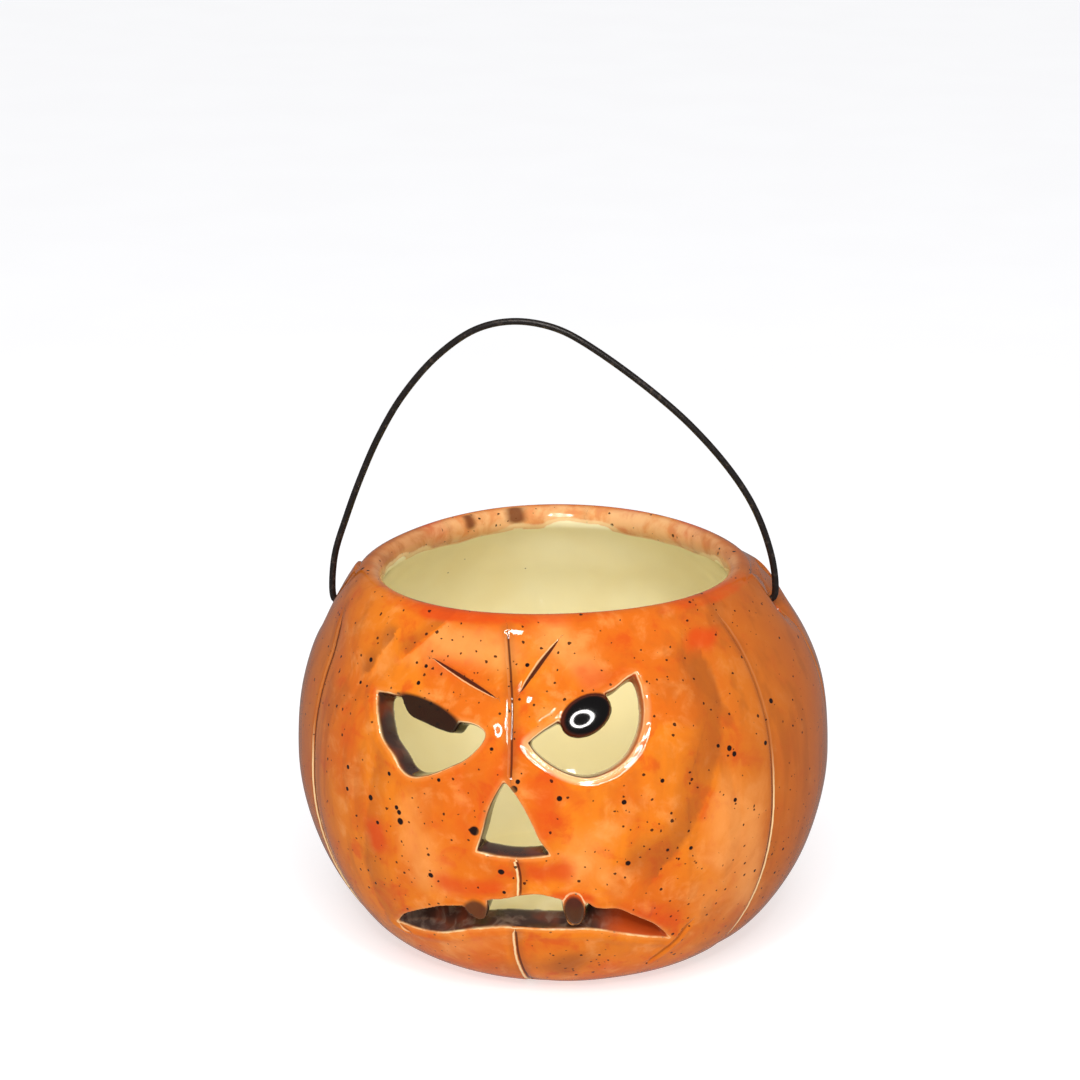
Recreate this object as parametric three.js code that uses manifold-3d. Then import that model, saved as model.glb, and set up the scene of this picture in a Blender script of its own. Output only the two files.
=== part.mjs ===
import * as THREE from 'three';
import { mergeVertices } from 'three/addons/utils/BufferGeometryUtils.js';
import Module from 'manifold-3d';

// Votive holder: a hand-built ceramic pumpkin pot with a face cut through its wall,
// carried by a bent wire bail. Millimetres, +Z up, the bail hinges about X and the
// face looks towards -Y, a little to the left of the hinge's square.

// ---- the pot's body
const bodyRadius = 63.5; // at its widest, the pot is 127 mm across
const widestHeight = 45.4;
const footRadius = 38;
const footFlare = 13.7; // how far the wall sweeps out before it turns up
const footLift = 3.5;
const lowerFullness = 20;
const upperFullness = 19;
const shoulderReach = 19.5;
const shoulderRadius = 45; // where the shoulder turns into the lip
const shoulderHeight = 89.8;
const shoulderSlope = 45; // degrees from level
const wall = 6.3;
const footRecess = 1.2;
const footRingWidth = 10;
const potColumns = 72;

// ---- the hand-cut opening, wider than deep and set back a little
const openingSquash = 0.065;
const openingShiftX = -1.2;
const openingShiftY = 2.6;
const openingBlendStart = 62; // height where the round body begins to follow the opening

// ---- the rim, pressed by hand into three slight corners and sunk a little at the front
const rimBlendStart = 72;
const rimStretch = 0.05; // front to back
const rimShiftX = -0.68;
const rimShiftY = -1.03;
const rimLobes = 0.056;
const rimLobeTurn = 6.8;
const rimSkew = 0.023;
const rimSaddle = 0.7; // it rises this much beside the bail, and sinks as much at front and back
const rimLean = 0.39; // and this much lower at the front, higher at the back

// ---- ribs: soft swellings between pressed lines
const ribAzimuths = [-5, 56, 126, 177, -130, -63];
const sideAzimuths = [89, -90]; // short lines through the bail's holes
const ribValleyDepth = 0.9;
const ribValleyWidth = 11;
const grooveRadius = 1.0;
const grooveDepth = 0.8;

// ---- the face, laid out along the wall in mm from the middle line and the widest height
const faceAzimuth = -5;
const cutReach = 3; // how far each cut runs past both sides of the wall
const browWidth = 0.75;

// ---- the bail and its two pierced holes
const wireRadius = 0.8;
const wireSides = 10;
const bendRadius = 2.2;
const leftLegX = -55.4;
const rightLegX = 50.4;
const leftHoleDrop = 11.8; // below the shoulder's height
const rightHoleDrop = 7.6;
const holeWidth = 3.4;
const holeHeight = 4.8;
const wireSeatGap = 0.3; // between the wire and the upper end of its hole
const hookClearance = 0.9; // between the wall's inner face and the hook
const hookDrop = 5.2;
const dentRadius = 7.5;
const dentDepth = 2.7;
// The arch's points: x, and the height above the shoulder.
const archPoints = [
  [-54.6, -0.2],
  [-51.5, 9.8],
  [-47.8, 19.7],
  [-43.4, 29.6],
  [-37.7, 39.4],
  [-29.4, 49.2],
  [-20.2, 55.8],
  [-11.6, 57.95],
  [-2.2, 56.6],
  [6.7, 52.1],
  [29.1, 34.8],
  [43.2, 17.6],
  [48.9, 3.7],
];

const wasm = await Module();
wasm.setup();

// ---- small helpers

function weldedSolid(geometry) {
  const bare = geometry.clone();
  bare.deleteAttribute('normal');
  bare.deleteAttribute('uv');
  const welded = mergeVertices(bare, 1e-4);
  const corners = welded.index.array;
  const faces = [];
  for (let i = 0; i < corners.length; i += 3) {
    const [a, b, c] = [corners[i], corners[i + 1], corners[i + 2]];
    if (a !== b && b !== c && c !== a) faces.push(a, b, c);
  }
  return new wasm.Manifold(new wasm.Mesh({
    numProp: 3,
    vertProperties: new Float32Array(welded.attributes.position.array),
    triVerts: new Uint32Array(faces),
  }));
}

function moveVertices(geometry, rule) {
  const position = geometry.attributes.position;
  for (let i = 0; i < position.count; i += 1) {
    const moved = rule(position.getX(i), position.getY(i), position.getZ(i));
    position.setXYZ(i, moved.x, moved.y, moved.z);
  }
  return geometry;
}

function smoothStep(low, high, value) {
  const t = THREE.MathUtils.clamp((value - low) / (high - low), 0, 1);
  return t * t * (3 - 2 * t);
}

function toMesh(name, manifold, color, roughness, metalness) {
  const made = manifold.getMesh();
  const geometry = new THREE.BufferGeometry();
  geometry.setAttribute('position', new THREE.BufferAttribute(made.vertProperties, 3));
  geometry.setIndex(new THREE.BufferAttribute(made.triVerts, 1));
  geometry.computeVertexNormals();
  const material = new THREE.MeshStandardMaterial({ color, roughness, metalness });
  const mesh = new THREE.Mesh(geometry, material);
  mesh.name = name;
  return mesh;
}

// ---- the wall's section, from the edge of the foot to the start of the lip

function outerSection() {
  const slope = THREE.MathUtils.degToRad(shoulderSlope);
  const section = new THREE.CurvePath();
  section.add(new THREE.CubicBezierCurve(
    new THREE.Vector2(footRadius, 0),
    new THREE.Vector2(footRadius + footFlare, footLift),
    new THREE.Vector2(bodyRadius, widestHeight - lowerFullness),
    new THREE.Vector2(bodyRadius, widestHeight),
  ));
  section.add(new THREE.CubicBezierCurve(
    new THREE.Vector2(bodyRadius, widestHeight),
    new THREE.Vector2(bodyRadius, widestHeight + upperFullness),
    new THREE.Vector2(
      shoulderRadius + shoulderReach * Math.cos(slope),
      shoulderHeight - shoulderReach * Math.sin(slope),
    ),
    new THREE.Vector2(shoulderRadius, shoulderHeight),
  ));
  return section;
}

function sectionNormal(section, share) {
  const along = section.getTangentAt(share);
  return new THREE.Vector2(along.y, -along.x);
}

const section = outerSection();
const sectionLength = section.getLength();
const lengthToWidest = section.curves[0].getLength();

function potProfile() {
  const points = [
    new THREE.Vector2(0, footRecess),
    new THREE.Vector2(footRadius - footRingWidth - footRecess, footRecess),
    new THREE.Vector2(footRadius - footRingWidth, 0),
  ];
  const outerSteps = 17;
  for (let i = 0; i <= outerSteps; i += 1) {
    points.push(section.getPointAt(i / outerSteps));
  }
  // The lip is a half round as thick as the wall.
  const lipSteps = 6;
  const lipNormal = sectionNormal(section, 1);
  const lipCentre = section.getPointAt(1).addScaledVector(lipNormal, -wall / 2);
  for (let i = 1; i < lipSteps; i += 1) {
    const spoke = lipNormal.clone().rotateAround(new THREE.Vector2(), Math.PI * i / lipSteps);
    points.push(lipCentre.clone().addScaledVector(spoke, wall / 2));
  }
  // The inner face runs parallel to the outer one, down to the floor.
  const innerSteps = 11;
  for (let i = innerSteps; i >= 0; i -= 1) {
    const share = i / innerSteps;
    const outer = section.getPointAt(share);
    points.push(outer.addScaledVector(sectionNormal(section, share), -wall));
  }
  points.push(new THREE.Vector2(0, points[points.length - 1].y));
  return points;
}

// ---- the hand-made unevenness: rib valleys and the squashed, shifted opening

function ribValley(azimuth, height) {
  const reach = Math.sin(Math.PI * THREE.MathUtils.clamp(height / shoulderHeight, 0, 1));
  let depth = 0;
  for (const rib of ribAzimuths) {
    const away = THREE.MathUtils.euclideanModulo(azimuth - rib + 180, 360) - 180;
    const distance = THREE.MathUtils.degToRad(away) * bodyRadius;
    depth += Math.exp(-((distance / ribValleyWidth) ** 2));
  }
  return ribValleyDepth * depth * reach;
}

// How much the rim is pressed in at an azimuth, as a factor on its radius.
function rimPress(around, rim) {
  const turn = THREE.MathUtils.degToRad(rimLobeTurn);
  return 1 - rim * (rimLobes * Math.cos(3 * (around - turn)) + rimSkew * Math.sin(2 * around));
}

function handShape(x, y, z) {
  const radius = Math.max(Math.hypot(x, y), 1);
  const around = Math.atan2(x, -y);
  const blend = smoothStep(openingBlendStart, shoulderHeight, z);
  const rim = smoothStep(rimBlendStart, shoulderHeight, z);
  const valley = ribValley(THREE.MathUtils.radToDeg(around), z);
  const scale = (radius - valley) / radius * rimPress(around, rim);
  const deep = 1 - openingSquash * blend + rimStretch * rim;
  const rise = -rim * (rimSaddle * Math.cos(2 * around) + rimLean * Math.cos(around));
  return new THREE.Vector3(
    x * scale + openingShiftX * blend + rimShiftX * rim,
    y * scale * deep + openingShiftY * blend + rimShiftY * rim,
    z + rise,
  );
}

// A point laid out on the wall: u along it from the azimuth given, v up it from the
// widest height, lift outwards from its outer face.
function wallPoint(azimuth, u, v, lift) {
  const share = THREE.MathUtils.clamp((lengthToWidest + v) / sectionLength, 0, 1);
  const onSection = section.getPointAt(share);
  const normal = sectionNormal(section, share);
  const around = THREE.MathUtils.degToRad(azimuth) + u / onSection.x;
  const radius = onSection.x + normal.x * lift;
  const height = onSection.y + normal.y * lift;
  return handShape(radius * Math.sin(around), -radius * Math.cos(around), height);
}

// ---- cutting tools

// A flat outline pushed square through the curved wall.
function throughCut(shape) {
  const depth = wall + 2 * cutReach;
  const options = { depth, bevelEnabled: false, curveSegments: 7 };
  const prism = new THREE.ExtrudeGeometry(shape, options);
  const lowest = -wall - cutReach;
  return weldedSolid(moveVertices(prism, (u, v, w) => wallPoint(faceAzimuth, u, v, lowest + w)));
}

// A round tool drawn along the wall's face between two or more laid-out points.
function pressedLine(azimuth, route, radius, depth, steps) {
  const path = new THREE.CatmullRomCurve3(
    route.map(([u, v]) => wallPoint(azimuth, u, v, radius - depth)),
  );
  const angles = [0, 60, 120, 180, 240, 300].map(THREE.MathUtils.degToRad);
  const tool = new THREE.Shape(
    angles.map((a) => new THREE.Vector2(radius * Math.cos(a), radius * Math.sin(a))),
  );
  return weldedSolid(new THREE.ExtrudeGeometry(tool, { steps, extrudePath: path }));
}

function meridian(from, to, count) {
  const route = [];
  for (let i = 0; i <= count; i += 1) route.push([0, from + (to - from) * i / count]);
  return route;
}

// ---- the face

function leftEye() {
  const opening = new THREE.Shape();
  opening.moveTo(-35.2, 27.2);
  opening.quadraticCurveTo(-20, 28, -6.2, 22.9);
  opening.bezierCurveTo(-9.5, 16.5, -17, 11.2, -24.2, 11.4);
  opening.bezierCurveTo(-29.5, 11.8, -34.2, 19, -35.2, 27.2);
  // The pupil is a slanted tab of clay that hangs from the lid.
  const pupil = new THREE.Shape();
  pupil.moveTo(-28.4, 30);
  pupil.quadraticCurveTo(-27.8, 24.6, -22.5, 23.9);
  pupil.quadraticCurveTo(-12.2, 21.2, -12, 24.4);
  pupil.lineTo(-12, 30);
  return throughCut(opening).subtract(throughCut(pupil));
}

function rightEye() {
  const opening = new THREE.Shape();
  opening.moveTo(3.8, 21.8);
  opening.quadraticCurveTo(14, 29.2, 27.9, 36.1);
  opening.bezierCurveTo(29.8, 31.1, 30.6, 24.5, 27.9, 20.3);
  opening.bezierCurveTo(25, 15.8, 20, 14.2, 16.5, 14.6);
  opening.bezierCurveTo(11.5, 15.2, 7, 18.5, 3.8, 21.8);
  const pupil = new THREE.Shape();
  pupil.absellipse(16.2, 28, 6, 4.5, 0, 2 * Math.PI, false, 0.3);
  return throughCut(opening).subtract(throughCut(pupil));
}

function nose() {
  const opening = new THREE.Shape();
  opening.moveTo(-1.2, 13);
  opening.quadraticCurveTo(-4.6, 6.5, -7.4, -3.7);
  opening.quadraticCurveTo(1, -5, 9.1, -3.3);
  opening.quadraticCurveTo(5.5, 2.5, -1.2, 13);
  return throughCut(opening);
}

function mouth() {
  const upperLip = [[-24.5, -24.4], [-15, -19.8], [-4, -16.6], [7, -14], [16.5, -16], [25, -18.7], [32.3, -24.8]];
  const lowerLip = [[25, -26.2], [14.4, -23.6], [1, -24], [-9, -25.9], [-18.6, -29.8]];
  const opening = new THREE.Shape();
  opening.moveTo(-31.2, -30.8);
  opening.splineThru([...upperLip, [35.6, -30.2]].map((p) => new THREE.Vector2(...p)));
  opening.splineThru([...lowerLip, [-31.2, -30.8]].map((p) => new THREE.Vector2(...p)));
  const leftFang = new THREE.Shape();
  leftFang.moveTo(-11.6, -16);
  leftFang.quadraticCurveTo(-10, -20.6, -7.3, -23);
  leftFang.quadraticCurveTo(-6.2, -22, -5.6, -13);
  const rightFang = new THREE.Shape();
  rightFang.moveTo(11.4, -12);
  rightFang.quadraticCurveTo(11.8, -20, 13.2, -22.9);
  rightFang.quadraticCurveTo(15.6, -20.4, 17.2, -12);
  return throughCut(opening).subtract(throughCut(leftFang)).subtract(throughCut(rightFang));
}

function faceLines() {
  const lines = [
    [[-18.8, 38.2], [-11.7, 34.8], [-4.3, 31]],
    [[9.6, 44.8], [5.8, 38.9], [1.9, 32.6]],
    [[41.7, -26.4], [36, -33.5], [29.6, -40.2]],
    [[-31.2, -30.9], [-29.4, -32.3], [-27.9, -33.4]],
  ];
  return lines.map((route) => pressedLine(faceAzimuth, route, browWidth, browWidth / 2, 6));
}

// ---- the ribs' pressed lines

function ribLines() {
  const top = sectionLength - lengthToWidest - 3;
  const bottom = 3 - lengthToWidest;
  const ribs = ribAzimuths.map((azimuth) => (
    pressedLine(azimuth, meridian(bottom, top, 10), grooveRadius, grooveDepth, 13)
  ));
  const sides = sideAzimuths.map((azimuth) => (
    pressedLine(azimuth, meridian(4, top - 1, 6), grooveRadius, grooveDepth, 7)
  ));
  return [...ribs, ...sides];
}

// ---- the bail's hinge line and holes

const leftHoleHeight = shoulderHeight - leftHoleDrop;
const rightHoleHeight = shoulderHeight - rightHoleDrop;
const hingeLean = Math.atan2(rightHoleHeight - leftHoleHeight, rightLegX - leftLegX);

function hingeHeight(x) {
  return leftHoleHeight + (x - leftLegX) * Math.tan(hingeLean);
}

// The wall's outer radius straight beside the hinge, on the side of the sign given.
function wallAtHinge(side, lift) {
  let nearest = null;
  for (let v = 15; v < sectionLength - lengthToWidest; v += 0.25) {
    const point = wallPoint(side * 90, 0, v, lift);
    const miss = Math.abs(point.z - hingeHeight(point.x));
    if (!nearest || miss < nearest.miss) nearest = { miss, x: point.x };
  }
  return nearest.x;
}

// The slot runs along the hinge, and the glaze is drawn into a small round dent at its mouth.
function bailHole(side) {
  const outerX = wallAtHinge(side, 0);
  const mouth = new THREE.Vector3(outerX, 0, hingeHeight(outerX));
  const half = holeWidth / 2;
  const upperCentre = wireRadius + wireSeatGap - half;
  const slot = new THREE.Shape();
  slot.absarc(0, upperCentre, half, 0, Math.PI, false);
  slot.absarc(0, upperCentre + holeWidth - holeHeight, half, Math.PI, 2 * Math.PI, false);
  const reach = 2 * (wall + cutReach);
  const options = { depth: reach, bevelEnabled: false, curveSegments: 5 };
  const bore = new THREE.ExtrudeGeometry(slot, options);
  bore.translate(0, 0, -reach / 2);
  bore.applyMatrix4(new THREE.Matrix4().makeBasis(
    new THREE.Vector3(0, side, 0),
    new THREE.Vector3(0, 0, 1),
    new THREE.Vector3(side, 0, 0),
  ));
  bore.rotateY(-hingeLean);
  bore.translate(mouth.x, mouth.y, mouth.z);
  const slope = THREE.MathUtils.degToRad(shoulderSlope);
  const outward = new THREE.Vector3(side * Math.sin(slope), 0, Math.cos(slope));
  const centre = mouth.clone().addScaledVector(outward, dentRadius - dentDepth);
  const dent = new THREE.SphereGeometry(dentRadius, 24, 16);
  dent.translate(centre.x, centre.y, centre.z);
  return weldedSolid(bore).add(weldedSolid(dent));
}

// ---- the bail

// Three points that round a corner of the wire.
function bend(before, corner, after) {
  const inward = before.clone().sub(corner).setLength(bendRadius);
  const outward = after.clone().sub(corner).setLength(bendRadius);
  const middle = corner.clone().addScaledVector(inward.clone().add(outward), 0.293);
  return [corner.clone().add(inward), middle, corner.clone().add(outward)];
}

function bailEnd(side, legX, firstArchPoint) {
  const hookX = wallAtHinge(side, -wall) - side * (hookClearance + wireRadius);
  const tip = new THREE.Vector3(hookX, 0, hingeHeight(hookX) - hookDrop);
  const hook = new THREE.Vector3(hookX, 0, hingeHeight(hookX));
  const elbow = new THREE.Vector3(legX, 0, hingeHeight(legX));
  return [tip, ...bend(tip, hook, elbow), ...bend(hook, elbow, firstArchPoint)];
}

function bail() {
  const arch = archPoints.map(([x, rise]) => new THREE.Vector3(x, 0, shoulderHeight + rise));
  const route = [
    ...bailEnd(-1, leftLegX, arch[0]),
    ...arch,
    ...bailEnd(1, rightLegX, arch[arch.length - 1]).reverse(),
  ];
  const path = new THREE.CatmullRomCurve3(route, false, 'centripetal');
  // Sampled evenly from point to point, so the tight bends get the most steps.
  path.getPointAt = path.getPoint;
  path.getTangentAt = path.getTangent;
  const ring = new THREE.Shape();
  ring.absarc(0, 0, wireRadius, 0, 2 * Math.PI, false);
  const steps = (route.length - 1) * 3;
  const options = { steps, curveSegments: wireSides / 2, extrudePath: path };
  return weldedSolid(new THREE.ExtrudeGeometry(ring, options));
}

// ---- the two pieces

function pot() {
  const body = new THREE.LatheGeometry(potProfile(), potColumns);
  body.rotateX(Math.PI / 2);
  const shell = weldedSolid(moveVertices(body, handShape));
  const cuts = [leftEye(), rightEye(), nose(), mouth(), ...faceLines(), ...ribLines()];
  const cutShell = cuts.reduce((left, cut) => left.subtract(cut), shell);
  return cutShell.subtract(bailHole(-1)).subtract(bailHole(1));
}

const holder = new THREE.Group();
holder.name = 'pumpkin_votive_holder';
holder.add(toMesh('pumpkin_pot', pot(), 0xd9702a, 0.25, 0));
holder.add(toMesh('wire_bail', bail(), 0x2a2724, 0.45, 0.8));

export default holder;
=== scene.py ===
import math

import bmesh
import bpy
import numpy as np
from mathutils import Matrix, Vector


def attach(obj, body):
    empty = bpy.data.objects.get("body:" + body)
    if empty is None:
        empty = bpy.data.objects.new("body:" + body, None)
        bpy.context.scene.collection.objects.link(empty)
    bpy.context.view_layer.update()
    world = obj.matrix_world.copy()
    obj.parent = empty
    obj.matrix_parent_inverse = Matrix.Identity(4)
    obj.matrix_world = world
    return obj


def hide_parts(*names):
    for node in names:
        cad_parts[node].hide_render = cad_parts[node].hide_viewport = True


# Jack-o'-lantern votive pot: glazed pumpkin with a cut face, carried by a black wire bail.
# Clay is worked in millimetres and brought to metres at the end of each piece.

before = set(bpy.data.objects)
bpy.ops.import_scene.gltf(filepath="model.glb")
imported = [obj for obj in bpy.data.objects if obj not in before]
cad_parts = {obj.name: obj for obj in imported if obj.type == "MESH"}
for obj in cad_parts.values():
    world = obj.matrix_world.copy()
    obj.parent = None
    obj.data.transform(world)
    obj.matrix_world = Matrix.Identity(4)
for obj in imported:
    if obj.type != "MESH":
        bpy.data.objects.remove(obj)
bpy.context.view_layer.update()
toMetres = Matrix.Scale(0.001, 4)


# the pot's wall, as thrown: millimetres and degrees
potShape = {
    "bodyRadius": 63.5,
    "widestHeight": 45.4,
    "footRadius": 38.0,
    "footFlare": 13.7,
    "footLift": 3.5,
    "lowerFullness": 20.0,
    "upperFullness": 19.0,
    "shoulderReach": 19.5,
    "shoulderRadius": 45.0,
    "shoulderHeight": 89.8,
    "shoulderSlope": 45.0,
    "wall": 6.3,
    "footRecess": 1.2,
    "footRingWidth": 10.0,
    "openingSquash": 0.065,
    "openingShift": (-1.2, 2.6),
    "rimBlendStart": 72.0,
    "rimStretch": 0.05,
    "rimShift": (-0.68, -1.03),
    "rimLobes": 0.056,     # three slight corners
    "rimLobeTurn": 6.8,
    "rimSkew": 0.023,
    "rimSaddle": 0.7,      # higher beside the bail, lower at front and back
    "rimLean": 0.39,
    "openingBlendStart": 62.0,
    "ribAzimuths": (-5, 56, 126, 177, -130, -63),
    "ribValleyDepth": 0.9,
    "ribValleyWidth": 11.0,
    "faceAzimuth": -5.0,
    "columns": 200,
    "clayGrain": 0.45,     # voxel of the remesh that softens every cut
    "triangles": 186000,
}


def smoothStep(low, high, value):
    t = np.clip((value - low) / (high - low), 0, 1)
    return t * t * (3 - 2 * t)


def bell(distance, width):
    return np.exp(-(distance / width) ** 2)


def bezier(a, b, c, d, count=1500):
    t = np.linspace(0, 1, count)[:, None]
    a, b, c, d = (np.array(p, float) for p in (a, b, c, d))
    return (1 - t) ** 3 * a + 3 * t * (1 - t) ** 2 * b + 3 * t * t * (1 - t) * c + t ** 3 * d


def wallSection():
    # half of the outer outline as an even run: v up it from the widest height, and which way is out
    p = potShape
    slope = math.radians(p["shoulderSlope"])
    widest = (p["bodyRadius"], p["widestHeight"])
    lower = bezier((p["footRadius"], 0), (p["footRadius"] + p["footFlare"], p["footLift"]),
                   (p["bodyRadius"], p["widestHeight"] - p["lowerFullness"]), widest)
    upper = bezier(widest, (p["bodyRadius"], p["widestHeight"] + p["upperFullness"]),
                   (p["shoulderRadius"] + p["shoulderReach"] * math.cos(slope),
                    p["shoulderHeight"] - p["shoulderReach"] * math.sin(slope)),
                   (p["shoulderRadius"], p["shoulderHeight"]))
    points = np.vstack([lower, upper[1:]])
    along = np.concatenate([[0], np.cumsum(np.linalg.norm(np.diff(points, axis=0), axis=1))])
    low = along[len(lower) - 1]
    even = np.linspace(0, along[-1], 2400)
    rho, z = np.interp(even, along, points[:, 0]), np.interp(even, along, points[:, 1])
    dr, dz = np.gradient(rho, even), np.gradient(z, even)
    size = np.hypot(dr, dz)
    return {"v": even - low, "rho": rho, "z": z, "outR": dz / size, "outZ": -dr / size,
            "bottom": -low, "top": along[-1] - low}


section = wallSection()


def wallAt(v):
    # the section's radius, height and outward direction
    return [np.interp(v, section["v"], section[key]) for key in ("rho", "z", "outR", "outZ")]


def turnFrom(start, azimuth):
    # degrees round the pot, -180 to 180
    return (azimuth - start + 180) % 360 - 180


def ribValley(azimuth, z):
    reach = np.sin(np.pi * np.clip(z / potShape["shoulderHeight"], 0, 1))
    depth = 0
    for rib in potShape["ribAzimuths"]:
        away = np.radians(turnFrom(rib, azimuth)) * potShape["bodyRadius"]
        depth = depth + bell(away, potShape["ribValleyWidth"])
    return potShape["ribValleyDepth"] * depth * reach


def openingAt(z):
    # how far the wall has turned into the opening, and into its rim, at a height
    p = potShape
    starts = p["openingBlendStart"], p["rimBlendStart"]
    blend, rim = (smoothStep(start, p["shoulderHeight"], z) for start in starts)
    slideX, slideY = (a * blend + b * rim for a, b in zip(p["openingShift"], p["rimShift"]))
    return blend, rim, slideX, slideY, 1 - p["openingSquash"] * blend + p["rimStretch"] * rim


def rimLobe(azimuth, rim):
    p, a = potShape, np.radians(azimuth)
    return 1 - rim * (p["rimLobes"] * np.cos(3 * (a - math.radians(p["rimLobeTurn"]))) + p["rimSkew"] * np.sin(2 * a))


def rimRise(azimuth, rim):
    a = np.radians(azimuth)
    return -rim * (potShape["rimSaddle"] * np.cos(2 * a) + potShape["rimLean"] * np.cos(a))


def handShape(points):
    # ribs, and the opening pressed a little wider than deep
    x, y, z = points[:, 0], points[:, 1], points[:, 2]
    radius = np.maximum(np.hypot(x, y), 1)
    azimuth = np.degrees(np.arctan2(x, -y))
    blend, rim, slideX, slideY, deep = openingAt(z)
    scale = (radius - ribValley(azimuth, z)) / radius * rimLobe(azimuth, rim)
    return np.column_stack([x * scale + slideX, y * scale * deep + slideY, z + rimRise(azimuth, rim)])


def onWall(azimuth, u, v, lift):
    # a point laid out on the wall: u along it, v up it from the widest height, lift out of it
    u, v, lift = np.broadcast_arrays(*(np.asarray(n, float) for n in (u, v, lift)))
    v = np.clip(v, section["bottom"], section["top"])
    rho, z, outR, outZ = wallAt(v)
    around = np.radians(azimuth) + u / rho
    radius, height = rho + outR * lift, z + outZ * lift
    return handShape(np.column_stack([radius * np.sin(around), -radius * np.cos(around), height]))


def layout(points):
    # the way back: azimuth, v, lift and unpressed height of points of the pot, and u from the face's middle line
    z = points[:, 2]
    for _ in range(6):
        blend, rim, slideX, slideY, deep = openingAt(z)
        x, y = points[:, 0] - slideX, (points[:, 1] - slideY) / deep
        azimuth = np.degrees(np.arctan2(x, -y))
        z = points[:, 2] - rimRise(azimuth, rim)
    rho = np.hypot(x, y) / rimLobe(azimuth, rim) + ribValley(azimuth, z)
    order = np.argsort(section["z"])
    v = np.interp(z, section["z"][order], section["v"][order])
    for _ in range(12):
        r0, z0, outR, outZ = wallAt(v)
        v = np.clip(v + 0.8 * ((rho - r0) * -outZ + (z - z0) * outR), section["bottom"], section["top"])
    r0, z0, outR, outZ = wallAt(v)
    lift = (rho - r0) * outR + (z - z0) * outZ
    u = np.radians(turnFrom(potShape["faceAzimuth"], azimuth)) * r0
    return {"azimuth": azimuth, "u": u, "v": v, "lift": lift, "z": z}


def readPoints(mesh):
    flat = np.zeros(len(mesh.vertices) * 3, np.float32)
    mesh.vertices.foreach_get("co", flat)
    return flat.reshape(-1, 3).astype(float)


def writePoints(mesh, points):
    mesh.vertices.foreach_set("co", points.astype(np.float32).ravel())
    mesh.update()


def addToScene(name, data):
    made = bpy.data.objects.new(name, data)
    bpy.context.scene.collection.objects.link(made)
    return made


def newPiece(name, bm):
    mesh = bpy.data.meshes.new(name)
    bm.to_mesh(mesh)
    bm.free()
    return addToScene(name, mesh)


def settle(piece):
    # the piece's modifiers become its mesh
    bpy.context.view_layer.update()
    finished = bpy.data.meshes.new_from_object(piece.evaluated_get(bpy.context.evaluated_depsgraph_get()))
    piece.modifiers.clear()
    old, piece.data = piece.data, finished
    bpy.data.meshes.remove(old)


def curveThrough(points, spacing):
    # an even run of points on a smooth line through the given ones
    p = np.array(points, float)
    p = np.vstack([2 * p[0] - p[1], p, 2 * p[-1] - p[-2]])
    made = []
    for four in zip(p, p[1:], p[2:], p[3:]):
        k = np.cumsum([0] + [max(np.linalg.norm(n - m), 1e-6) ** 0.5 for m, n in zip(four, four[1:])])
        t = np.linspace(k[1], k[2], 24, endpoint=False)[:, None]

        def between(i, j, one, other):
            return (k[j] - t) / (k[j] - k[i]) * one + (t - k[i]) / (k[j] - k[i]) * other

        a, b, c = (between(i, i + 1, four[i], four[i + 1]) for i in range(3))
        made.append(between(1, 2, between(0, 2, a, b), between(1, 3, b, c)))
    made = np.vstack(made + [p[-2:-1]])
    along = np.concatenate([[0], np.cumsum(np.linalg.norm(np.diff(made, axis=0), axis=1))])
    even = np.linspace(0, along[-1], max(3, int(round(along[-1] / spacing)) + 1))
    return np.column_stack([np.interp(even, along, made[:, i]) for i in range(made.shape[1])])


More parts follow.
